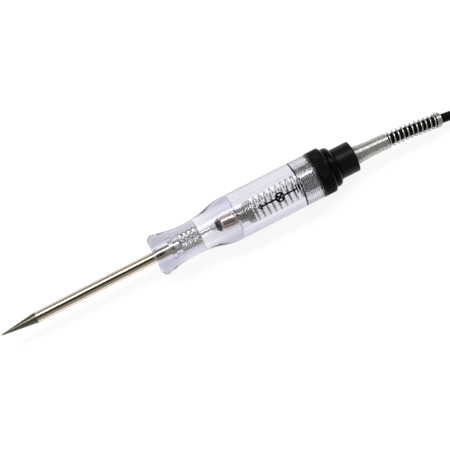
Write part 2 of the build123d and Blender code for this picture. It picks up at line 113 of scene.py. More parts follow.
# ---- camera ------------------------------------------------------------------------------------
VIEW_AZIMUTH = math.radians(-27.4)
VIEW_ELEVATION = math.radians(80)
VIEW_DISTANCE = 459.2
LOOKED_AT = Vector((17.57, -1.2, AXIS_Z))
LENS = 103.2


def linked(name, data):
    """A new object, put into the scene."""
    made = bpy.data.objects.new(name, data)
    bpy.context.scene.collection.objects.link(made)
    return made


def make_camera():
    back = Vector(
        (
            math.sin(VIEW_AZIMUTH) * math.cos(VIEW_ELEVATION),
            -math.cos(VIEW_AZIMUTH) * math.cos(VIEW_ELEVATION),
            math.sin(VIEW_ELEVATION),
        )
    )
    camera = linked("camera", bpy.data.cameras.new("camera"))
    camera.data.lens = LENS
    camera.data.clip_start = 0.01
    camera.location = (LOOKED_AT + back * VIEW_DISTANCE) * MM
    camera.rotation_mode = "QUATERNION"
    camera.rotation_quaternion = (-back).to_track_quat("-Z", "Y")
    bpy.context.scene.camera = camera


make_camera()


# ---- materials ---------------------------------------------------------------------------------
def principled(name, colour, metallic, roughness, **sockets):
    """A new material. A number or colour that is the same all over is set on the shader itself."""
    material = bpy.data.materials.new(name)
    material.use_nodes = True
    shader = material.node_tree.nodes["Principled BSDF"]
    sockets.update(Base_Color=(*colour, 1), Metallic=metallic, Roughness=roughness)
    for socket, value in sockets.items():
        shader.inputs[socket.replace("_", " ")].default_value = value
    return material


def feed(owner, socket, value):
    """Gives a socket a fixed value or another node's output."""
    if isinstance(value, bpy.types.NodeSocket):
        owner.node_tree.links.new(value, socket)
    else:
        socket.default_value = value


def node(owner, kind, **inputs):
    """A new shader node of a material or world, whose inputs are fixed values or outputs."""
    made = owner.node_tree.nodes.new("ShaderNode" + kind)
    for name, value in inputs.items():
        feed(owner, made.inputs[name.replace("_", " ")], value)
    return made


def place_nodes(material, stretch=(1, 1, 1)):
    """The place on the object, in metres, with its axes scaled by stretch."""
    place = node(material, "TexCoord").outputs["Object"]
    return node(material, "Mapping", Vector=place, Scale=stretch).outputs["Vector"]


def noise(material, size, detail=4.0, stretch=(1, 1, 1)):
    """Noise with features of about that size in millimetres."""
    place = place_nodes(material, stretch)
    scale = 1 / (size * MM)
    return node(material, "TexNoise", Vector=place, Scale=scale, Detail=detail).outputs["Fac"]


def ranged(owner, value, low, high, start=0.3, end=0.7, smooth=False):
    """Maps a value from start..end to low..high."""
    limits = {"From_Min": start, "From_Max": end, "To_Min": low, "To_Max": high}
    mapped = node(owner, "MapRange", Value=value, **limits)
    if smooth:
        mapped.interpolation_type = "SMOOTHSTEP"
    return mapped.outputs["Result"]


def mixed(owner, factor, low, high):
    """From low to high, which are numbers, colours or outputs, by a factor from 0 to 1."""
    mix = node(owner, "Mix")
    if isinstance(low, tuple) or isinstance(high, tuple):
        mix.data_type = "RGBA"
    for name, value in (("Factor", factor), ("A", low), ("B", high)):
        feed(owner, mix.inputs[name], value)
    return mix.outputs["Result"]


def computed(owner, kind, operation, *values, output=0):
    """The result of a Math or VectorMath node."""
    step = node(owner, kind)
    step.operation = operation
    for socket, value in zip(step.inputs, values):
        feed(owner, socket, value)
    return step.outputs[output]


def drive(material, value, socket):
    shader = material.node_tree.nodes["Principled BSDF"]
    feed(material, shader.inputs[socket], value)


def tinted(material, factor, low, high):
    """Base colour from low to high with a factor from 0 to 1."""
    drive(material, mixed(material, factor, (*low, 1), (*high, 1)), "Base Color")


def bumped(material, height, depth):
    """Bump with the depth given in millimetres."""
    bump = node(material, "Bump", Height=height, Distance=depth * MM)
    drive(material, bump.outputs["Normal"], "Normal")


def surface(name, low, high, metallic, rough, size, bump, **sockets):
    """The usual finish: noise varies the colour and the height, and coarser noise the roughness."""
    material = principled(name, high, metallic, rough[0], **sockets)
    grain = noise(material, size)
    tinted(material, ranged(material, grain, 0, 1), low, high)
    drive(material, ranged(material, noise(material, 3 * size), *rough), "Roughness")
    bumped(material, grain, bump)
    return material


def probe_material():
    """Nickel plate, drawn along the rod and dull on the shank, with the tip ground round."""
    # The glancing-angle colour is dimmed as painted shade: it darkens the rod's edges where they
    # reflect the floor under the tool, which the bright floor here lacks.
    edges = (0.42, 0.40, 0.37, 1)  # the metal's colour at a glancing angle
    ground = (0.17, 0.16, 0.125, 1)
    plated = (0.78, 0.70, 0.60, 1)
    silver = (0.95, 0.94, 0.91, 1)
    material = principled("nickel_rod", (0.74, 0.71, 0.64), 1.0, 0.14, Specular_Tint=edges)
    x = node(material, "SeparateXYZ", Vector=place_nodes(material)).outputs["X"]
    on_rod = ranged(material, x, 0, 1, (CONE_BASE_X - 0.3) * MM, CONE_BASE_X * MM)
    on_shank = ranged(material, x, 0, 1, NOSE_BASE_X * MM, (NOSE_BASE_X + 0.5) * MM)
    polish = ranged(material, noise(material, 6.0, stretch=(0.5, 1, 1)), 0.05, 0.11)
    roughness = mixed(material, on_shank, mixed(material, on_rod, 0.26, polish), 0.2)
    drive(material, roughness, "Roughness")
    colour = mixed(material, on_shank, mixed(material, on_rod, ground, plated), silver)
    drive(material, colour, "Base Color")
    # Grinding rings on the tip are short along the axis, and drawing lines on the rod are long.
    rings = ranged(material, noise(material, 0.5, 3.0, (6, 0.5, 0.5)), 0, 1)
    lines = ranged(material, noise(material, 0.5, 3.0, (0.03, 1, 1)), 0, 0.22)
    bumped(material, mixed(material, on_rod, rings, lines), 0.012)
    return material


def clear_material():
    """Clear moulded plastic with a lilac cast that deepens with its thickness."""
    material = principled(
        "clear_plastic", (1, 1, 1), 0.0, 0.02, IOR=1.49, Transmission_Weight=1.0
    )
    lilac = (0.565, 0.56, 0.72, 1)
    absorb = node(material, "VolumeAbsorption", Color=lilac, Density=92.0)
    output = material.node_tree.nodes["Material Output"]
    feed(material, output.inputs["Volume"], absorb.outputs["Volume"])
    bumped(material, noise(material, 9.0, 2.0, (0.5, 1, 1)), 0.02)
    drive(material, ranged(material, noise(material, 5.0), 0.012, 0.035), "Roughness")
    return material


def plug_material():
    """Turned and plated metal, with painted shade darkening the roots of its thread."""
    material = principled("turned_plug", (0.8, 0.8, 0.79), 1.0, 0.2)
    to_axis = (0, 0, -AXIS_Z * MM)
    place = computed(material, "VectorMath", "ADD", place_nodes(material), to_axis)
    across = computed(material, "VectorMath", "MULTIPLY", place, (0, 1, 1))
    radius = computed(material, "VectorMath", "LENGTH", across, output="Value")
    root_r = (THREAD_R - THREAD_DEPTH) * MM
    # Painted shade: the thread's roots are coloured near black and the crests near white, standing
    # in for the shade in the grooves.
    unshaded_crest = ranged(material, radius, 0, 1, root_r + 0.05 * MM, root_r + 0.2 * MM)
    tinted(material, unshaded_crest, (0.16, 0.16, 0.16), (0.98, 0.98, 0.97))
    drive(material, ranged(material, noise(material, 2.0), 0.40, 0.54), "Roughness")
    bumped(material, noise(material, 0.6, stretch=(4, 0.6, 0.6)), 0.006)
    return material


def bulb_material():
    material = principled(
        "bulb_glass", (0.98, 0.99, 0.99), 0.0, 0.01, IOR=1.5, Transmission_Weight=1.0
    )
    bumped(material, noise(material, 2.5, 1.0), 0.01)
    return material


MATERIALS = {
    "plated_steel": probe_material(),
    "clear_plastic": clear_material(),
    "lamp_glass": bulb_material(),
    "solder": surface(
        "bright_solder", (0.86, 0.85, 0.83), (0.97, 0.96, 0.94), 0.6, (0.40, 0.55), 0.5, 0.02
    ),
    "black_glass": surface(
        "black_insulator", (0.012, 0.012, 0.014), (0.03, 0.03, 0.034), 0.0, (0.10, 0.2), 0.6, 0.01
    ),
    "lamp_brass": surface(
        "aged_brass", (0.80, 0.69, 0.59), (0.98, 0.91, 0.82), 1.0, (0.26, 0.38), 0.9, 0.008
    ),
    "filament_wire": surface(
        "filament", (0.25, 0.24, 0.23), (0.42, 0.41, 0.40), 1.0, (0.3, 0.5), 0.1, 0.004
    ),
    # The spring steel is partly its own grey and partly painted shade: its lowered colour and dimmed
    # glancing-angle tint darken the wires' edges where they reflect the shade of the floor under the
    # tool.
    "spring_steel": surface(
        "plated_spring", (0.50, 0.51, 0.49), (0.78, 0.79, 0.77), 1.0, (0.26, 0.38), 0.35, 0.006,
        Specular_Tint=(0.42, 0.43, 0.41, 1),
    ),
    "plug_metal": plug_material(),
    "black_plastic": surface(
        "moulded_black", (0.002, 0.0022, 0.002), (0.004, 0.0044, 0.004), 0.0, (0.18, 0.28), 0.25,
        0.01, Specular_IOR_Level=0.06,
    ),
    "black_sleeve": surface(
        "satin_black", (0.003, 0.003, 0.0028), (0.006, 0.006, 0.0055), 0.0, (0.28, 0.38), 0.2,
        0.015, Specular_IOR_Level=0.12,
    ),
    "copper": surface(
        "bare_copper", (0.60, 0.30, 0.18), (0.86, 0.50, 0.34), 1.0, (0.2, 0.4), 0.3, 0.01
    ),
    "cord_jacket": surface(
        "cord_vinyl", (0.003, 0.003, 0.003), (0.006, 0.006, 0.006), 0.0, (0.34, 0.48), 0.3, 0.02,
        Specular_IOR_Level=0.04,
    ),
    "tie_plastic": surface(
        "tie_nylon", (0.006, 0.006, 0.007), (0.012, 0.012, 0.013), 0.0, (0.35, 0.5), 0.3, 0.015
    ),
    "clip_steel": surface(
        "clip_plating", (0.58, 0.58, 0.56), (0.68, 0.68, 0.66), 1.0, (0.20, 0.30), 0.6, 0.008
    ),
    "boot_vinyl": surface(
        "boot_vinyl", (0.005, 0.005, 0.006), (0.010, 0.010, 0.011), 0.0, (0.36, 0.5), 0.4, 0.03
    ),
}


# ---- cord --------------------------------------------------------------------------------------
LEAD = [
    (CONDUCTOR_END_X, 0, AXIS_Z),
    (86.0, -0.45, AXIS_Z),
    (100.5, -1.75, 6.9),
    (113.5, -2.6, 3.8),
    (124.0, -6.2, CORD_R),
]
TAIL = [
    (HANK.x + HANK_HALF_RUN + 1.0, HANK_SIDE_Y, HANK_TOP_Z),
    (CLIP_ENTRY_X - 7.5, CLIP_ENTRY_Y, CLIP.z),
    (CLIP_ENTRY_X, CLIP_ENTRY_Y, CLIP.z),
]
POINTS_PER_TURN = 36
EVENT = 0.11  # the share of a turn in which the cord shifts to the next ring or layer
LAYERS = 4
FOLD_PLAY = 0.0176  # how much less than the longest fold the shortest one reaches, as a share
TIE_ROOM = 0.7  # what the tie squeezes off the hank at its top and bottom
TIE_REACH = 9.0  # how far from the tie its squeeze is felt


def ring_point(u, inset):
    """A point of the hank's loop: u goes once round, inset is the depth of the cord's middle."""
    drop = FOLD_R - WAIST_HALF
    centre_y = (HANK_HALF_RUN**2 - drop**2) / (2 * drop)
    hollow_r = centre_y - WAIST_HALF
    lean = math.atan2(centre_y, HANK_HALF_RUN)
    middle = CORD_R * 2
    pieces = [
        (-HANK_HALF_RUN, 0, FOLD_R - inset, -math.pi / 2, -lean, FOLD_R - middle),
        (0, -centre_y, hollow_r + inset, math.pi - lean, lean, hollow_r + middle),
        (HANK_HALF_RUN, 0, FOLD_R - inset, lean - math.pi, math.pi - lean, FOLD_R - middle),
        (0, centre_y, hollow_r + inset, -lean, lean - math.pi, hollow_r + middle),
        (-HANK_HALF_RUN, 0, FOLD_R - inset, lean, 1.5 * math.pi, FOLD_R - middle),
    ]
    lengths = [abs(end - start) * typical for _, _, _, start, end, typical in pieces]
    left = (u % 1) * sum(lengths)
    for (x, y, radius, start, end, _), length in zip(pieces, lengths):
        if left <= length:
            angle = start + (end - start) * left / length
            return x + radius * math.cos(angle), y + radius * math.sin(angle)
        left -= length


def eased(t):
    t = min(max(t, 0), 1)
    return t * t * (3 - 2 * t)


def hank_turns():
    """The hank's control points: outer and inner ring in turn, a layer higher after each pair."""
    points = []
    turns = 2 * LAYERS - (2 * LAYERS - 1) * EVENT
    count = round(turns * POINTS_PER_TURN)
    middle_z = HANK_HEIGHT / 2
    squeeze = TIE_ROOM / (middle_z - CORD_R)
    for i in range(count + 1):
        u = i / POINTS_PER_TURN
        ring = 0.0  # 0 is the outer ring and 1 the inner one
        layer = 0.0
        for k in range(2 * LAYERS - 1):
            done = eased((u - (k + 1) * (1 - EVENT)) / EVENT)
            if k % 2 == 0:
                ring += done if k % 4 == 0 else -done
            else:
                layer += done
        # Each turn's folds reach a little more or less far than the next one's.
        play = FOLD_PLAY * (0.5 + 0.5 * math.sin(2.4 * math.floor(2 * u) + 1.1))
        reach = 1 - play * (0.5 + 0.5 * math.cos(4 * math.pi * (u - 0.4)))
        x, y = ring_point(u, CORD_R + 2 * CORD_R * ring)
        tied = eased(1 - abs(x) / TIE_REACH)
        z = CORD_R + 2 * CORD_R * layer
        z = middle_z + (z - middle_z) * (1 - squeeze * tied)
        points.append((HANK.x + x * reach, HANK.y + y, z))
    return points


def cord_curve(name, bevel):
    route = LEAD + hank_turns() + TAIL
    curve = bpy.data.curves.new(name, "CURVE")
    curve.dimensions = "3D"
    spline = curve.splines.new("NURBS")
    spline.points.add(len(route) - 1)
    for point, place in zip(spline.points, route):
        point.co = (*(Vector(place) * MM), 1)
    spline.order_u = 3
    spline.use_endpoint_u = True
    spline.resolution_u = 8
    curve.bevel_depth = bevel * MM
    curve.bevel_resolution = 6
    curve.use_fill_caps = bevel > 0
    curve.materials.append(MATERIALS["cord_jacket"])
    return bpy.data.objects.new(name, curve)


cord = cord_curve("cord", CORD_R)
bpy.context.scene.collection.objects.link(cord)
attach(cord, "cap_and_lead")
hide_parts("cord_lead", "cord_hank", "cord_tail")


# ---- mesh tools --------------------------------------------------------------------------------
def outward(mesh):
    """Turns every face of a closed mesh outwards."""
    work = bmesh.new()
    work.from_mesh(mesh)
    bmesh.ops.recalc_face_normals(work, faces=work.faces)
    work.to_mesh(mesh)
    work.free()


def piece(name, body, slot, vertices, faces, stands_for=(), sharp=35, blended=None):
    """Makes a mesh object from points in millimetres and gives it its material; it joins its body
    unless blended, when its place is baked into its mesh.
    """
    mesh = bpy.data.meshes.new(name)
    mesh.from_pydata((np.asarray(vertices) * MM).tolist(), [], faces)
    outward(mesh)
    mesh.polygons.foreach_set("use_smooth", [True] * len(mesh.polygons))
    mesh.set_sharp_from_angle(angle=math.radians(sharp))
    mesh.materials.append(MATERIALS[slot])
    made = linked(name, mesh)
    if blended:
        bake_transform(made)
    else:
        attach(made, body)
    if stands_for:
        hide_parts(*stands_for)
    return made


def joined(*shapes):
    """Several (vertices, faces) as one."""
    vertices, faces = [], []
    for points, sides in shapes:
        start = len(vertices)
        vertices.extend(map(tuple, points))
        faces.extend(tuple(i + start for i in side) for side in sides)
    return vertices, faces


def moved(shape, matrix):
    vertices, faces = shape
    turned = np.asarray(vertices) @ np.array(matrix.to_3x3()).T + np.array(matrix.translation)
    return turned, faces


def ring_angles(sides):
    return np.arange(sides) * 2 * math.pi / sides


def directions(points):
    """The direction of a line at each of its points."""
    tangents = np.gradient(points, axis=0)
    return tangents / np.linalg.norm(tangents, axis=1)[:, None]


def lathe(rows, sides, closed=False):
    """A turned shape on the tool's axis. A row is (x, radius); the radius may be one per side."""
    angles = ring_angles(sides)
    vertices, rings = [], []
    for x, radius in rows:
        start = len(vertices)
        if np.ndim(radius) == 0 and radius == 0:
            vertices.append((x, 0, AXIS_Z))
            rings.append([start] * sides)
            continue
        radii = np.broadcast_to(radius, sides)
        y = radii * np.cos(angles)
        z = AXIS_Z + radii * np.sin(angles)
        vertices.extend(zip([x] * sides, y, z))
        rings.append(list(range(start, start + sides)))
    faces = []
    pairs = list(zip(rings, rings[1:])) + ([(rings[-1], rings[0])] if closed else [])
    for a, b in pairs:
        for i in range(sides):
            j = (i + 1) % sides
            corners = [a[i], a[j], b[j], b[i]]
            faces.append(tuple(dict.fromkeys(corners)))
    return vertices, [f for f in faces if len(f) > 2]


def arc(centre, radius, start, end, steps):
    """Points of an arc in (x, radius), with its angles in degrees from +x."""
    angles = np.radians(np.linspace(start, end, steps + 1))
    return [(centre[0] + radius * math.cos(a), centre[1] + radius * math.sin(a)) for a in angles]


def rounded(points, radius, steps=4):
    """An open outline in (x, radius) whose inner corners are rounded."""
    out = [points[0]]
    for a, b, c in zip(points, points[1:], points[2:]):
        a, b, c = (np.array(p, float) for p in (a, b, c))
        into, away = a - b, c - b
        cut = min(radius, 0.45 * np.linalg.norm(into), 0.45 * np.linalg.norm(away))
        start = b + into / np.linalg.norm(into) * cut
        end = b + away / np.linalg.norm(away) * cut
        for t in np.linspace(0, 1, steps + 1):
            out.append(tuple((1 - t) ** 2 * start + 2 * t * (1 - t) * b + t * t * end))
    out.append(points[-1])
    return out


def skin(count, sides, closed=False):
    """Faces over count rings of points: a closed loop of them, or a bar with a face on each end."""
    faces = []
    for k in range(count if closed else count - 1):
        near, far = k * sides, (k + 1) % count * sides
        for i in range(sides):
            j = (i + 1) % sides
            faces.append((near + i, near + j, far + j, far + i))
    if not closed:
        faces.append(tuple(range(sides)))
        faces.append(tuple(range((count - 1) * sides, count * sides)))
    return faces


def tube(points, radii, sides):
    """A round bar along points, with frames carried along it without twist."""
    points = np.asarray(points, float)
    radii = np.broadcast_to(radii, len(points))
    tangents = directions(points)
    normal = np.cross(tangents[0], (0.3, 0.2, 1.0))
    vertices = []
    for point, tangent, radius in zip(points, tangents, radii):
        normal = normal - tangent * np.dot(normal, tangent)
        normal /= np.linalg.norm(normal)
        side = np.cross(tangent, normal)
        for a in ring_angles(sides):
            vertices.append(tuple(point + radius * (math.cos(a) * normal + math.sin(a) * side)))
    return vertices, skin(len(points), sides)


def band(points, normals, width, thick, closed=False):
    """A flat strip along points in a plane across X, with its edges eased."""
    ease = 0.3 * thick
    section = []
    for side_x, side_n in ((1, 1), (1, -1), (-1, -1), (-1, 1)):
        long_first = side_x == side_n
        corner = [
            (side_x * (width / 2 - ease), side_n * thick / 2),
            (side_x * width / 2, side_n * (thick / 2 - ease)),
        ]
        section += corner if long_first else corner[::-1]
    vertices = []
    for point, normal in zip(np.asarray(points), np.asarray(normals)):
        for across, out in section:
            vertices.append(tuple(point + np.array((across, 0, 0)) + out * normal))
    return vertices, skin(len(points), len(section), closed)


def softened(name, cad_node, body, slot, width):
    """A copy of a CAD node whose hard edges are rounded."""
    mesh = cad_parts[cad_node].data.copy()
    work = bmesh.new()
    work.from_mesh(mesh)
    bmesh.ops.remove_doubles(work, verts=work.verts, dist=1e-6)
    bmesh.ops.dissolve_limit(
        work, angle_limit=math.radians(1), verts=work.verts, edges=work.edges
    )
    hard = [e for e in work.edges if len(e.link_faces) == 2 and e.calc_face_angle() > 0.5]
    bmesh.ops.bevel(
        work, geom=hard, offset=width * MM, segments=3, profile=0.5, affect="EDGES",
        clamp_overlap=True,
    )
    work.to_mesh(mesh)
    work.free()
    vertices = np.array([v.co for v in mesh.vertices]) / MM
    faces = [tuple(p.vertices) for p in mesh.polygons]
    bpy.data.meshes.remove(mesh)
    return piece(name, body, slot, vertices, faces, [cad_node], sharp=50)


# ---- probe -------------------------------------------------------------------------------------
KNURL_PITCH = 1.85
KNURL_DEPTH = 0.34
KNURL_START_X = 0.2
KNURL_END_X = SHANK_END_X - 0.35


def knurled(x, angles, radius, depth):
    """The radius round a diamond knurl at x."""
    around = angles * KNURL_COUNT / (2 * math.pi)
    along = x / KNURL_PITCH
    left = np.abs(2 * ((along + around) % 1) - 1)
    right = np.abs(2 * ((along - around) % 1) - 1)
    return radius - depth * (1 - np.minimum(left, right))


def make_probe():
    sides = 12 * KNURL_COUNT
    angles = ring_angles(sides)
    rows = [(TIP_X, 0), (TIP_X + 0.02, 0.1), (TIP_X + 0.15, 0.2), (TIP_X + 0.5, 0.28)]
    rows += [(CONE_BASE_X - 0.4, ROD_R - 0.035), (CONE_BASE_X + 0.4, ROD_R)]
    rows += rounded(
        [
            (-40, ROD_R),
            (NOSE_X, ROD_R),
            (NOSE_X + 0.15, NECK_R),
            (NOSE_X + NECK_LENGTH - 0.15, NECK_R),
            (NOSE_X + NECK_LENGTH, ROD_R),
            (NOSE_BASE_X, ROD_R),
            (NOSE_BASE_X, RING_R),
            (SHANK_START_X, RING_R),
            (SHANK_START_X, SHANK_START_R),
            (KNURL_START_X - 0.3, KNURL_R),
            (KNURL_START_X - 0.05, KNURL_R + 0.1),
        ],
        0.18,
    )
    for x in np.arange(KNURL_START_X, KNURL_END_X, 0.11):
        fade = min(1, (x - KNURL_START_X + 0.1) / 0.3, (KNURL_END_X + 0.05 - x) / 0.3)
        rows.append((x, knurled(x, angles, KNURL_R + 0.15, KNURL_DEPTH * fade)))
    shank_face = SHANK_END_X + 0.05
    rows += rounded(
        [
            (KNURL_END_X, KNURL_R + 0.1),
            (shank_face, KNURL_R - 0.15),
            (shank_face, CONTACT_PIN_R),
            (CONTACT_X, CONTACT_PIN_R),
            (CONTACT_X, 0.2),
        ],
        0.2,
    )
    rows.append((CONTACT_X, 0))
    piece("probe_rod", "handle", "plated_steel", *lathe(rows, sides), ["probe_needle"])


# ---- handle ------------------------------------------------------------------------------------
def thread_radii(x, angles):
    """The radius of the plug's right-hand thread at x, at each angle."""
    phase = (x / THREAD_PITCH - angles / (2 * math.pi)) % 1
    # The flanks take three fifths of the pitch, and the flat root and crest a fifth each.
    wave = np.clip(1.7 * np.abs(2 * phase - 1) - 0.35, 0, 1)
    return THREAD_R - THREAD_DEPTH * (1 - wave)


def sweep(radius, start, end, steps):
    """Points of a waist arc, whose angles start at the waist and grow towards the rear."""
    return [
        (WAIST_X + radius * math.sin(a), WAIST_R + radius * (1 - math.cos(a)))
        for a in np.linspace(start, end, steps + 1)
    ]


def handle_outline():
    nose_angle = -math.asin((WAIST_X - NOSE_X - NOSE_ROUND) / FRONT_SWEEP_R)
    front = sweep(FRONT_SWEEP_R, nose_angle, 0, 16)
    rear = sweep(REAR_SWEEP_R, 0, SWEEP_TURN, 12)
    face_r = front[0][1] - NOSE_ROUND
    turn = rear[-1]
    shoulder_r = (BARREL_R - turn[1]) / (1 - math.cos(SWEEP_TURN))
    shoulder_x = turn[0] + shoulder_r * math.sin(SWEEP_TURN)
    lean = math.degrees(SWEEP_TURN)
    nose = arc((NOSE_X + NOSE_ROUND, face_r), NOSE_ROUND, 180, 90, 10)
    shoulder = arc((shoulder_x, BARREL_R - shoulder_r), shoulder_r, 90 + lean, 90, 12)
    return nose + front[1:] + rear[1:] + shoulder[1:]


def make_handle():
    sides = 160
    angles = ring_angles(sides)
    hole_r = ROD_R + 0.35
    thread_top = THREAD_R + THREAD_CLEARANCE
    rows = [(NOSE_X + 0.2, hole_r), (NOSE_X, hole_r + 0.2)] + handle_outline()
    rows += rounded(
        [
            (30, BARREL_R),
            (BARREL_END_X - 0.02, BARREL_R),
            (BARREL_END_X - 0.02, thread_top + 0.3),
            (BARREL_END_X - 0.5, thread_top),
        ],
        0.3,
    )
    thread_start = THREAD_BORE_X + 0.5
    for x in np.arange(BARREL_END_X - 0.6, thread_start, -THREAD_PITCH / 10):
        fade = min(1, (BARREL_END_X - 0.5 - x) / 0.4, (x - thread_start + 0.1) / 0.4)
        radii = thread_radii(x, angles) + THREAD_CLEARANCE + 0.03  # never flush with the plug's
        rows.append((x, thread_top + (radii - thread_top) * fade))
    embedded = 1.5  # inside the probe's shank, which the plastic is moulded round
    rows += rounded(
        [
            (thread_start, thread_top),
            (THREAD_BORE_X, MAIN_BORE_R),
            (BORE_STEP_X, MAIN_BORE_R),
            (BORE_STEP_X - 0.35, FRONT_BORE_R),
            (SHANK_END_X, FRONT_BORE_R),
            (SHANK_END_X, embedded),
        ],
        0.12,
        3,
    )
    rows += [(NOSE_BASE_X + 0.1, embedded), (NOSE_BASE_X + 0.1, hole_r)]
    handle = lathe(rows, sides, closed=True)
    piece("clear_handle", "handle", "clear_plastic", *handle, ["handle_barrel"], sharp=40)


def stroke(points, width, closed=False):
    """A flat line with mitred corners, in the plane of a printed mark."""
    corners = [np.array(p, float) for p in points]
    points = []
    for a, b in zip(corners, corners[1:] + corners[:1] if closed else corners[1:]):
        steps = max(1, math.ceil(np.linalg.norm(b - a) / 0.5))
        points += [a + (b - a) * k / steps for k in range(steps)]
    if not closed:
        points.append(corners[-1])
    count = len(points)
    left, right = [], []
    for k, p in enumerate(points):
        before = points[k - 1] if closed or k else p
        after = points[(k + 1) % count] if closed or k + 1 < count else p
        into = (p - before) / max(np.linalg.norm(p - before), 1e-9)
        away = (after - p) / max(np.linalg.norm(after - p), 1e-9)
        along = into + away
        along /= np.linalg.norm(along)
        reach = 1 / max(0.5, abs(np.dot(along, away if np.any(away) else into)))
        side = np.array((-along[1], along[0])) * width / 2 * reach
        left.append(p + side)
        right.append(p - side)
    quads = []
    for k in range(count if closed else count - 1):
        n = (k + 1) % count
        quads.append((right[k], right[n], left[n], left[k]))
    return quads


def printed(quads, centre_x, angle, radius, thick):
    """Wraps flat quads onto the handle as thin closed patches of ink."""
    patches = []
    for quad in quads:
        corners = []
        for r in (radius, radius + thick):
            for u, w in quad:
                a = angle + w / radius
                corners.append((centre_x + u, r * math.cos(a), AXIS_Z + r * math.sin(a)))
        patches.append((corners, skin(2, 4)))
    return joined(*patches)


MARK_X = 38.6
MARK_ANGLE = math.radians(107.5)
MARK_LINE = 0.65
ARROW_TIP_U = -8.6
ARROW_BASE_U = -7.3
ARROW_HALF = 0.85
EARTH_U = 6.7
INK = 0.035


def make_mark():
    """A lamp between an arrow and an earth, as in a circuit diagram, printed on the handle."""
    bulb_r = 1.5
    cross = bulb_r * math.sqrt(0.5)
    bulb = [(bulb_r * math.cos(a), bulb_r * math.sin(a)) for a in ring_angles(32)]
    wire_start = bulb_r - 0.2
    quads = stroke(bulb, MARK_LINE, closed=True)
    quads += stroke([(-cross, -cross), (cross, cross)], MARK_LINE)
    quads += stroke([(-cross, cross), (cross, -cross)], MARK_LINE)
    quads += stroke([(ARROW_BASE_U - 0.3, 0), (-wire_start, 0)], MARK_LINE)
    quads += stroke([(wire_start, 0), (EARTH_U - 0.1, 0)], MARK_LINE)
    barbs = [(ARROW_BASE_U, ARROW_HALF), (ARROW_BASE_U, -ARROW_HALF)]
    quads += stroke([(ARROW_TIP_U, 0), *barbs, (ARROW_TIP_U, 0)], 0.45)
    for k, half in enumerate((1.6, 1.05, 0.5)):
        u = EARTH_U + 0.95 * k
        quads += stroke([(u, -half), (u, half)], 0.55)
    mark = printed(quads, MARK_X, MARK_ANGLE, BARREL_R - 0.01, INK)
    piece("printed_mark", "handle", "black_plastic", *mark, sharp=30)


# ---- lamp --------------------------------------------------------------------------------------
CONTACT_END_X = 15.0
INSULATOR_END_X = 16.6
BASE_END_X = 22.4
LAMP_BASE_R = 2.9
GLASS_R = 2.15
GLASS_END_X = 33.0
GLASS_WALL = 0.4
STEM_END_X = 24.0
FILAMENT_X = 29.0
SUPPORT_Y = 1.0
LEAN_ABOUT = Matrix.Translation((CONTACT_X, 0, AXIS_Z))  # the lamp leans on its contact
LAMP_LEAN = LEAN_ABOUT @ Matrix.Rotation(math.radians(-4), 4, "Z") @ LEAN_ABOUT.inverted()


def lamp_piece(name, slot, shape, cad_node, sharp=35):
    return piece(name, "lamp", slot, *moved(shape, LAMP_LEAN), [cad_node], sharp)


def make_lamp_end():
    """The solder button and the black glass that carries it."""
    button = [(CONTACT_X + 0.05, 0), (CONTACT_X + 0.05, 0.25)]
    button += arc((CONTACT_X + 1.0, 0.05), 0.95, 168, 90, 8)
    button += [(CONTACT_END_X - 0.4, 1.0), (CONTACT_END_X, 1.1), (CONTACT_END_X, 0)]
    lamp_piece("solder_button", "solder", lathe(button, 32), "lamp_contact_button")
    front_x = CONTACT_END_X - 0.02
    cone = rounded(
        [
            (front_x, 0.9),
            (front_x, 1.4),
            (INSULATOR_END_X - 0.5, LAMP_BASE_R - 0.45),
            (INSULATOR_END_X, LAMP_BASE_R - 0.45),
            (INSULATOR_END_X, 0.5),
        ],
        0.25,
    )
    cone = [(front_x, 0), *cone, (INSULATOR_END_X, 0)]
    lamp_piece("lamp_end_glass", "black_glass", lathe(cone, 48), "lamp_insulator")


def make_lamp_base():
    """The turned shell with its groove and its two bayonet pins."""
    inner = LAMP_BASE_R - 0.35
    hole_r = 0.9
    shell = rounded(
        [
            (INSULATOR_END_X, LAMP_BASE_R - 0.5),
            (INSULATOR_END_X, LAMP_BASE_R - 0.4),
            (INSULATOR_END_X + 0.55, LAMP_BASE_R),
            (BASE_END_X - 1.0, LAMP_BASE_R),
            (BASE_END_X - 0.8, LAMP_BASE_R - 0.18),
            (BASE_END_X - 0.6, LAMP_BASE_R),
            (BASE_END_X, LAMP_BASE_R),
            (BASE_END_X, inner),
            (INSULATOR_END_X + 0.9, inner),
            (INSULATOR_END_X + 0.9, hole_r),
        ],
        0.2,
    )
    shell += [(INSULATOR_END_X + 0.02, hole_r)]
    shapes = [lathe(shell, 64, closed=True)]
    pin_r, pin_length = 0.5, 0.7
    pin = rounded([(0, 0.02), (0, pin_r), (pin_length, pin_r), (pin_length, 0.02)], 0.18)
    pin = lathe([(0, 0), *pin, (pin_length, 0)], 20)
    to_origin = Matrix.Translation((0, 0, -AXIS_Z))
    for side in (1, -1):
        upright = Matrix.Rotation(math.radians(-90 * side), 4, "Y")
        root = (INSULATOR_END_X + 2.6, 0, AXIS_Z + side * (LAMP_BASE_R - 0.15))
        shapes.append(moved(pin, Matrix.Translation(root) @ upright @ to_origin))
    lamp_piece("lamp_base", "lamp_brass", joined(*shapes), "lamp_base_shell")


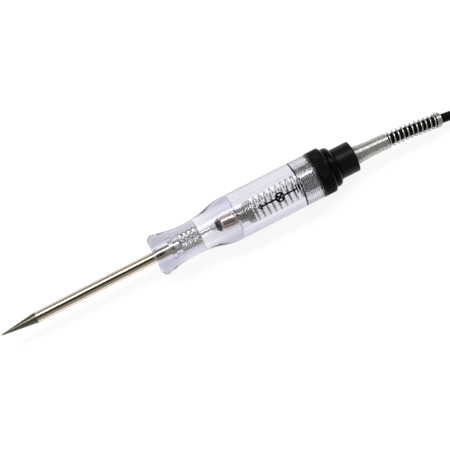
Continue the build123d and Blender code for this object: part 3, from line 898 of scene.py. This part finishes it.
def make_bulb():
    """The glass envelope, and the stem inside it."""
    inner = GLASS_R - GLASS_WALL
    neck_x = INSULATOR_END_X + 1.2
    dome_x = GLASS_END_X - GLASS_R
    outside = [(neck_x, GLASS_R)] + arc((dome_x, 0), GLASS_R, 90, 6, 14)
    inside = arc((dome_x, 0), inner, 6, 90, 14) + [(neck_x, inner)]
    bulb = [*outside, (GLASS_END_X, 0)]
    hollow = [(GLASS_END_X - GLASS_WALL, 0), *inside]
    shape = lathe(bulb + hollow, 64, closed=True)
    lamp_piece("bulb", "lamp_glass", shape, "lamp_glass", 60)
    foot_r, pinch_r = 1.4, 0.9
    stem = rounded(
        [
            (neck_x, foot_r),
            (neck_x + 1.5, foot_r),
            (STEM_END_X - 1.5, pinch_r),
            (STEM_END_X, 1.1),
            (STEM_END_X, 0.3),
        ],
        0.3,
    )
    stem = [(neck_x, 0), *stem, (STEM_END_X, 0)]
    lamp_piece("bulb_stem", "lamp_glass", lathe(stem, 40), "lamp_stem", 60)


def make_filament():
    """The coiled wire and its two supports, which spread from the stem."""
    wires = []
    for side in (1, -1):
        post = [
            (STEM_END_X - 3, side * 0.5, AXIS_Z),
            (STEM_END_X - 1, side * 0.6, AXIS_Z),
            (STEM_END_X + 1, side * 0.75, AXIS_Z),
            (FILAMENT_X - 1, side * SUPPORT_Y, AXIS_Z),
            (FILAMENT_X, side * (SUPPORT_Y + 0.1), AXIS_Z),
        ]
        wires.append(tube(post, 0.14, 8))
    turns, coil_r, sag = 12, 0.24, 0.25
    t = np.linspace(0, 1, turns * 14 + 1)
    turn = 2 * math.pi * turns * t
    coil = np.stack(
        [
            FILAMENT_X + coil_r * np.cos(turn) + sag * np.sin(math.pi * t),
            (2 * t - 1) * (SUPPORT_Y + 0.15),
            AXIS_Z + coil_r * np.sin(turn),
        ],
        axis=1,
    )
    wires.append(tube(coil, 0.05, 6))
    lamp_piece("filament", "filament_wire", joined(*wires), "lamp_filament")


# ---- spring ------------------------------------------------------------------------------------
SPRING_WIRE_R = 0.31
SPRING_SEAT_X = 53.0


def smoothed(values, width):
    kernel = np.ones(width) / width
    padded = np.pad(values, width // 2, mode="edge")
    return np.convolve(padded, kernel, mode="valid")[: len(values)]


SPRING_OPEN_X = 28.6  # where the close coils on the lamp end
SPRING_CLOSE_X = 51.5  # where the coils on the plug's floor begin


def make_lamp_spring():
    """Close coils that grip the lamp, open ones that push it forward, and a closed end."""
    per_turn = 32
    knots = [0, 4.6, 5.4, 9, 19.6, 21.2]
    places = [22.95, 25.7, 26.0, 28.4, SPRING_CLOSE_X, SPRING_SEAT_X - SPRING_WIRE_R]
    outer = [2.85, 2.85, 4.1, 4.25, 4.6, 4.62]
    t = np.arange(0, knots[-1] * per_turn + 1) / per_turn
    x = smoothed(np.interp(t, knots, places), per_turn // 2)
    radius = smoothed(np.interp(t, knots, outer), per_turn // 2) - SPRING_WIRE_R
    # It bows sideways from the leaning lamp, and stands straight again on the plug.
    bow_x = [22.9, 26.0, 28.0, 40.0, 46.5, SPRING_CLOSE_X]
    y = smoothed(-np.interp(x, bow_x, [0.72, 0.93, 1.02, 1.02, 0.55, 0.0]), per_turn)
    turn = 2 * math.pi * t
    points = np.stack([x, y + radius * np.cos(turn), AXIS_Z + radius * np.sin(turn)], axis=1)
    shape = tube(points, SPRING_WIRE_R, 12)
    ends = [Vector((end, 0, AXIS_Z)) * MM for end in (SPRING_OPEN_X, SPRING_CLOSE_X)]
    piece(
        "contact_spring", "lamp", "spring_steel", *shape, ["lamp_spring"], 60,
        blended=("cap_and_lead", *ends),
    )


# ---- cap, plug and strain relief ---------------------------------------------------------------
SHANK_R = 5.0
TAIL_R = 3.4
TAIL_END_X = 66.0
PLUG_BORE_R = 4.85
PLUG_FLOOR_X = SPRING_SEAT_X + 0.5
EYELET_R = 1.2
EYELET_END_X = BARREL_END_X + 2.0


def make_plug():
    sides = 128
    angles = ring_angles(sides)
    root_r = THREAD_R - THREAD_DEPTH
    gap = 0.02  # so that its faces don't coincide with the cap's
    rows = [(PLUG_X, PLUG_BORE_R), (PLUG_X, root_r - 0.1)]
    for x in np.arange(PLUG_X + 0.05, BARREL_END_X - 0.2, THREAD_PITCH / 10):
        lead_in = root_r - 0.05 + (x - PLUG_X)
        rows.append((x, np.minimum(thread_radii(x, angles), lead_in)))
    rows += [
        (BARREL_END_X - 0.15, root_r),
        (BARREL_END_X + 0.05, SHANK_R - gap),
        (FLANGE_END_X, SHANK_R - gap),
        (FLANGE_END_X, TAIL_R - gap),
        (TAIL_END_X, TAIL_R - gap),
        (TAIL_END_X, CORD_R + 0.05),
        (CONDUCTOR_END_X, CORD_R + 0.05),
        (CONDUCTOR_END_X, EYELET_R),
        (PLUG_FLOOR_X, EYELET_R),
        (PLUG_FLOOR_X, PLUG_BORE_R),
    ]
    shape = lathe(rows, sides, closed=True)
    piece("plug", "cap_and_lead", "plug_metal", *shape, ["threaded_plug"], 50)


def make_eyelet():
    """The brass terminal in the plug's floor, which the lamp spring stands on."""
    inner, outer, rim = 0.72, EYELET_R - 0.02, 3.2
    eyelet = rounded(
        [
            (EYELET_END_X, inner),
            (EYELET_END_X, outer),
            (PLUG_FLOOR_X - 0.02, outer),
            (PLUG_FLOOR_X - 0.02, rim),
            (SPRING_SEAT_X, rim),
            (SPRING_SEAT_X, inner),
        ],
        0.1,
    )
    shape = lathe(eyelet, 48, closed=True)
    piece("terminal_eyelet", "cap_and_lead", "lamp_brass", *shape, ["cord_terminal"])


def make_strands():
    """Seven twisted strands of copper: one in the middle and six round it."""
    strands = []
    t = np.linspace(0, 1, 40)
    x = SPRING_SEAT_X + (CONDUCTOR_END_X - SPRING_SEAT_X) * t
    for k in range(7):
        reach = 0 if k == 0 else 0.44
        turn = 2 * math.pi * (k / 6 + 0.6 * t)
        path = np.stack([x, reach * np.cos(turn), AXIS_Z + reach * np.sin(turn)], axis=1)
        strands.append(tube(path, 0.21, 8))
    piece("strands", "cap_and_lead", "copper", *joined(*strands), ["conductor_strands"])


def make_cap():
    sides = RIB_COUNT * 8
    angles = ring_angles(sides)
    grooves = (0.5 - 0.5 * np.cos(RIB_COUNT * angles)) ** 2
    rib_start, rib_end = BARREL_END_X + 0.55, COLLAR_CHAMFER_X - 0.25
    front = rounded([(BARREL_END_X, SHANK_R), (BARREL_END_X, COLLAR_R), (rib_start, COLLAR_R)], 0.3)
    rows = front[:-1]
    for x in np.linspace(rib_start, rib_end, 14):
        depth = RIB_DEPTH * eased((x - rib_start) / 0.5) * eased((rib_end - x) / 0.5)
        rows.append((x, COLLAR_R - depth * grooves))
    rows += rounded(
        [
            (rib_end + 0.05, COLLAR_R),
            (COLLAR_CHAMFER_X + 0.15, COLLAR_R),
            (COLLAR_END_X, FLANGE_R + 0.1),
            (COLLAR_END_X + 0.1, FLANGE_R - 0.35),
            (COLLAR_END_X + 0.45, FLANGE_R),
            (FLANGE_END_X - 1.0, FLANGE_R),
            (FLANGE_END_X, FLANGE_R - 1.1),
            (FLANGE_END_X, SHANK_R),
        ],
        0.55,
        5,
    )
    shape = lathe(rows, sides, closed=True)
    piece("cap", "cap_and_lead", "black_plastic", *shape, ["screw_cap"], 40)


def make_sleeve():
    cavity_r, mouth_r = 4.1, 3.65
    cavity_end = SLEEVE_END_X - 1.0
    rows = rounded(
        [
            (FLANGE_END_X, TAIL_R),
            (FLANGE_END_X, GROOVE_R),
            (SLEEVE_X, GROOVE_R),
            (SLEEVE_X, SLEEVE_R),
            (SLEEVE_END_X, SLEEVE_R),
            (SLEEVE_END_X, mouth_r),
            (cavity_end, mouth_r),
            (cavity_end - 0.5, cavity_r),
            (TAIL_END_X, cavity_r),
            (TAIL_END_X, TAIL_R),
        ],
        0.35,
        5,
    )
    shape = lathe(rows, 96, closed=True)
    piece("sleeve", "cap_and_lead", "black_sleeve", *shape, ["rear_sleeve"], 40)


RELIEF_WIRE_R = 0.27
RELIEF_START_X = 66.8
RELIEF_OPEN_X = 83.8
RELIEF_CLOSE_X = 102.9
RELIEF_END_X = 104.7
RELIEF_OUTLINE = [  # x and the coil's outer radius
    (RELIEF_START_X, 3.95),
    (68.3, 3.9),
    (69.2, 3.5),
    (SLEEVE_END_X, 3.55),
    (73.0, 3.2),
    (76.4, 2.95),
    (RELIEF_OPEN_X, 2.85),
    (RELIEF_CLOSE_X - 0.5, 2.72),
    (RELIEF_CLOSE_X + 0.3, 2.8),
    (RELIEF_END_X + 0.3, 2.82),
]
COVER_OUTLINE = [  # x and radius
    (67.2, 1.6),
    (67.5, 1.95),
    (RELIEF_END_X - 0.8, 1.95),
    (RELIEF_END_X - 0.1, 1.72),
    (109.7, 1.7),
    (110, CORD_R + 0.03),
]
LEAD_LINE_END_X = 112  # a little past the relief and the cover


def lead_line():
    """The cord's middle inside the relief, in millimetres from its spline, and its direction."""
    bare = cord_curve("cord_middle", 0)
    mesh = bpy.data.meshes.new_from_object(bare)
    line = np.array([v.co for v in mesh.vertices]) / MM
    bpy.data.meshes.remove(mesh)
    bpy.data.objects.remove(bare)
    line = line[: np.argmax(line[:, 0] > LEAD_LINE_END_X)]
    return line, directions(line)


def read_at(x, line, values):
    """Reads three values per point of a line at each x."""
    return np.stack([np.interp(x, line[:, 0], values[:, i]) for i in range(3)], axis=1)


def make_cord_cover():
    """A vinyl cover shrunk on the cord: it fills the relief's coil and thins out past its end."""
    line, _ = lead_line()
    x = np.linspace(COVER_OUTLINE[0][0], COVER_OUTLINE[-1][0], 144)
    shape = tube(read_at(x, line, line), np.interp(x, *zip(*COVER_OUTLINE)), 28)
    return piece("cord_cover", "cap_and_lead", "cord_jacket", *shape, sharp=50)


def make_relief():
    """The coil of wire round the cord: close at first, then open, then three close turns."""
    line, tangents = lead_line()
    per_turn = 24
    turns = [0, 30.9, 41.6, 44.6]
    places = [RELIEF_START_X, RELIEF_OPEN_X, RELIEF_CLOSE_X, RELIEF_END_X]
    t = np.arange(0, turns[-1] * per_turn + 1) / per_turn
    x = smoothed(np.interp(t, turns, places), per_turn // 3)
    radius = (np.interp(x, *zip(*RELIEF_OUTLINE)) - RELIEF_WIRE_R)[:, None]
    along = read_at(x, line, tangents)
    side = np.cross(along, (0, 0, 1.0))
    side /= np.linalg.norm(side, axis=1)[:, None]
    up = np.cross(side, along)
    turn = 2 * math.pi * t[:, None]
    points = read_at(x, line, line) + radius * (np.cos(turn) * side + np.sin(turn) * up)
    shape = tube(points, RELIEF_WIRE_R, 10)
    return piece("relief_coil", "cap_and_lead", "spring_steel", *shape, ["strain_relief_spring"], 60)


# ---- tie and clip ------------------------------------------------------------------------------
QUARTERS = ((1, 1, 0), (-1, 1, 90), (-1, -1, 180), (1, -1, 270))  # signs and first angle
TIE_THICK = 0.6


def make_tie():
    """A small nylon tie: a band drawn round the hank, its head on top and its tail laid over."""
    corner = 2.0
    middle_z = HANK_HEIGHT / 2
    in_y = WAIST_HALF + 0.35 - corner
    in_z = middle_z - TIE_THICK / 2 - corner
    points, normals = [], []
    for sign_y, sign_z, start in QUARTERS:
        for a in np.radians(np.linspace(start, start + 90, 9)):
            normal = np.array((0, math.cos(a), math.sin(a)))
            centre = np.array((HANK.x, HANK.y + sign_y * in_y, middle_z + sign_z * in_z))
            points.append(centre + corner * normal)
            normals.append(normal)
    shapes = [band(points, normals, 3.0, TIE_THICK, closed=True)]
    tail_points, tail_normals = [], []
    tail_reach, tail_rise, bend = 11.0, 2.2, 1.3
    for t in np.linspace(0, 1, 16):
        y = HANK.y - 0.5 + tail_reach * t
        z = HANK_HEIGHT + 1.2 + tail_rise * math.sin(bend * t)
        slope = math.atan2(tail_rise * bend * math.cos(bend * t), tail_reach)
        tail_points.append((HANK.x, y, z))
        tail_normals.append((0, -math.sin(slope), math.cos(slope)))
    shapes.append(band(tail_points, tail_normals, 2.6, 0.8))
    head_points = [(HANK.x, HANK.y + y, HANK_HEIGHT + 1.35) for y in (-2.6, -2.3, 2.0, 2.3)]
    shapes.append(band(head_points, [(0, 0, 1.0)] * 4, 4.6, 2.9))
    return piece("nylon_tie", "cap_and_lead", "tie_plastic", *joined(*shapes), ["hank_tie"], 40)


def make_torsion_spring():
    """The fixed piece is the coil with the lower leg, and the moving piece is the upper leg."""
    wire, coil_r, rise, turns, reach = 0.3, 1.6, 1.0, 3.5, 6.4
    lean = math.radians(12)
    hub = np.array(CLIP)

    def leg(side):
        root = hub + (0, side * coil_r, side * rise)
        away = np.array((-math.cos(lean), side * math.sin(lean), 0))
        return [root + away * reach * t for t in np.linspace(1, 0.04, 8)]

    angle = np.linspace(-math.pi / 2, -math.pi / 2 + 2 * math.pi * turns, int(28 * turns))
    coil = np.stack(
        [
            hub[0] + coil_r * np.cos(angle),
            hub[1] + coil_r * np.sin(angle),
            hub[2] + np.linspace(-rise, rise, len(angle)),
        ],
        axis=1,
    )
    fixed = tube(np.vstack([leg(-1), coil]), wire, 10)
    moving = tube(leg(1)[:-1] + [hub + (0, coil_r, rise)], wire, 10)
    parts = (("clip_spring", "cap_and_lead", fixed), ("clip_spring_leg", "clip_jaw", moving))
    return [
        piece(name, body, "spring_steel", *shape, ["clip_torsion_spring"], 60)
        for name, body, shape in parts
    ]


# The covers are made about the clip's pin, on the upper handle, and turned over for the lower one.
HANDLE_LINE = [(-21.0, 7.3), (-11.55, 5.1), (-3.0, 3.3)]  # the middle of a handle, seen from above
HANDLE_HALF_Y = 1.1
HANDLE_HALF_Z = {"lower": 4.0, "upper": 3.2}
BOOT_FRONT_X = -7.0
BOOT_REAR_X = -22.8
BOOT_HALF_Y = 1.62
BOOT_WALL = 0.48
BOOT_BEAD = 0.16
RIBS_FRONT_X = -9.2
RIBS_REAR_X = -18.2
RIBS_PITCH = 1.5
NECK_FRONT_X = -21.1
NECK_HALF_Z = 2.1


def boot_section(x, half_y, half_z, corner):
    """A rounded rectangle across the handle at x."""
    middle = np.interp(x, *zip(*HANDLE_LINE))
    points = []
    for sign_y, sign_z, start in QUARTERS:
        for a in np.radians(np.linspace(start, start + 90, 7)):
            y = middle + sign_y * (half_y - corner) + corner * math.cos(a)
            points.append((x, y, sign_z * (half_z - corner) + corner * math.sin(a)))
    return points


def make_boot(name, which, body, cad_node):
    """A dipped vinyl cover: a beaded mouth, ribs for the fingers and a neck at the rear."""
    steel_z = HANDLE_HALF_Z[which]
    inside = np.linspace(NECK_FRONT_X + 0.2, BOOT_FRONT_X, 10)
    sections = [boot_section(x, HANDLE_HALF_Y, steel_z, 0.3) for x in inside]
    for x in np.arange(BOOT_FRONT_X, BOOT_REAR_X - 0.01, -0.1):
        bead = BOOT_BEAD * math.exp(-(((x - BOOT_FRONT_X + 0.55) / 0.45) ** 2))
        in_ribs = eased((RIBS_FRONT_X - x) / 0.6) * eased((x - RIBS_REAR_X) / 0.6)
        wave = 0.5 + 0.5 * math.cos(2 * math.pi * (x - RIBS_FRONT_X) / RIBS_PITCH)
        rib = BOOT_BEAD * in_ribs * wave**2
        neck = eased((NECK_FRONT_X - x) / 1.1)
        from_mouth = 0.12 * (1 - eased((BOOT_FRONT_X - x + 0.06) / 0.3))
        from_rear = 0.15 * (1 - eased((x - BOOT_REAR_X + 0.05) / 0.3))
        half_y = BOOT_HALF_Y + bead + rib - from_mouth - from_rear
        half_z = steel_z + BOOT_WALL + bead - from_mouth
        half_z += (NECK_HALF_Z - half_z) * neck - from_rear
        sections.append(boot_section(x, half_y, half_z, min(half_y, half_z) - 0.05))
    vertices = np.array(sections).reshape(-1, 3)
    faces = skin(len(sections), len(sections[0]))
    turn = Matrix.Rotation(math.pi if which == "lower" else 0, 4, "X")
    shape = moved((vertices, faces), Matrix.Translation(CLIP) @ turn)
    return piece(name, body, "boot_vinyl", *shape, [cad_node], 50)


def make_clip():
    fixed, moving = "cap_and_lead", "clip_jaw"
    return [
        softened("lower_jaw", "clip_fixed_jaw", fixed, "clip_steel", 0.14),
        softened("upper_jaw", "clip_moving_jaw", moving, "clip_steel", 0.14),
        softened("clip_rivet", "clip_pivot_pin", fixed, "clip_steel", 0.16),
        make_boot("lower_boot", "lower", fixed, "clip_fixed_boot"),
        make_boot("upper_boot", "upper", moving, "clip_moving_boot"),
        *make_torsion_spring(),
    ]


make_probe()
make_handle()
make_mark()
make_lamp_end()
make_lamp_base()
make_bulb()
make_filament()
make_lamp_spring()
make_plug()
make_eyelet()
make_strands()
make_cap()
make_sleeve()
on_cord = [make_relief(), make_cord_cover(), make_tie(), *make_clip()]


# ---- studio ------------------------------------------------------------------------------------
def make_world():
    """Soft grey all round, with a dark patch overhead that gives round metal its dark line."""
    world = bpy.data.worlds.new("studio")
    bpy.context.scene.world = world
    world.use_nodes = True
    direction = node(world, "TexCoord").outputs["Generated"]
    split = node(world, "SeparateXYZ", Vector=direction)
    rising = ranged(world, split.outputs["Z"], 0, 1, 0.08, 0.75, smooth=True)
    sky = mixed(world, rising, (0.12, 0.115, 0.11, 1), (0.57, 0.55, 0.52, 1))
    # The patch is a stripe along X, tilted from the vertical towards -Y, that fades at both ends.
    across = computed(world, "VectorMath", "MULTIPLY", direction, (0, 1, 1))
    unit = computed(world, "VectorMath", "NORMALIZE", across)
    tilt = math.radians(20)
    middle = (0, -math.sin(tilt), math.cos(tilt))
    toward = computed(world, "VectorMath", "DOT_PRODUCT", unit, middle, output="Value")
    edge, core = math.cos(math.radians(34)), math.cos(math.radians(16))
    stripe = ranged(world, toward, 0, 1, edge, core, smooth=True)
    aside = computed(world, "Math", "ABSOLUTE", split.outputs["X"])
    faded = ranged(world, aside, 0, 1, 0.45, 0.2, smooth=True)
    patch = computed(world, "Math", "MULTIPLY", faded, stripe)
    colour = mixed(world, patch, sky, (0.055, 0.045, 0.030, 1))
    feed(world, world.node_tree.nodes["Background"].inputs["Color"], colour)


def make_softbox(name, tilt, distance, length, width, radiance):
    """A long soft light above the tool, tilted from the vertical towards +Y. Sizes are in mm."""
    data = bpy.data.lights.new(name, "AREA")
    data.shape = "RECTANGLE"
    data.size = length * MM
    data.size_y = width * MM
    data.energy = radiance * math.pi * data.size * data.size_y
    lamp = linked(name, data)
    away = Vector((0.08, math.sin(tilt), math.cos(tilt))).normalized()
    lamp.location = (LOOKED_AT + away * distance) * MM
    lamp.rotation_mode = "QUATERNION"
    across = Vector((1, 0, 0))
    up = away.cross(across).normalized()
    across = up.cross(away)
    lamp.rotation_quaternion = Matrix((across, up, away)).transposed().to_quaternion()


def make_floor():
    reach = 3.0  # metres
    mesh = bpy.data.meshes.new("floor")
    corners = [(-reach, -reach, 0), (reach, -reach, 0), (reach, reach, 0), (-reach, reach, 0)]
    mesh.from_pydata(corners, [], [(0, 1, 2, 3)])
    glow = {"Emission_Color": (1, 1, 1, 1), "Emission_Strength": 0.86}
    mesh.materials.append(principled("floor_white", (0.24, 0.24, 0.24), 0.0, 0.9, **glow))
    linked("floor", mesh)


make_world()
make_softbox("long_softbox", math.radians(28), 700, 1400, 150, 6.5)
make_floor()
bpy.context.scene.view_settings.view_transform = "Standard"

bpy.context.view_layer.update()
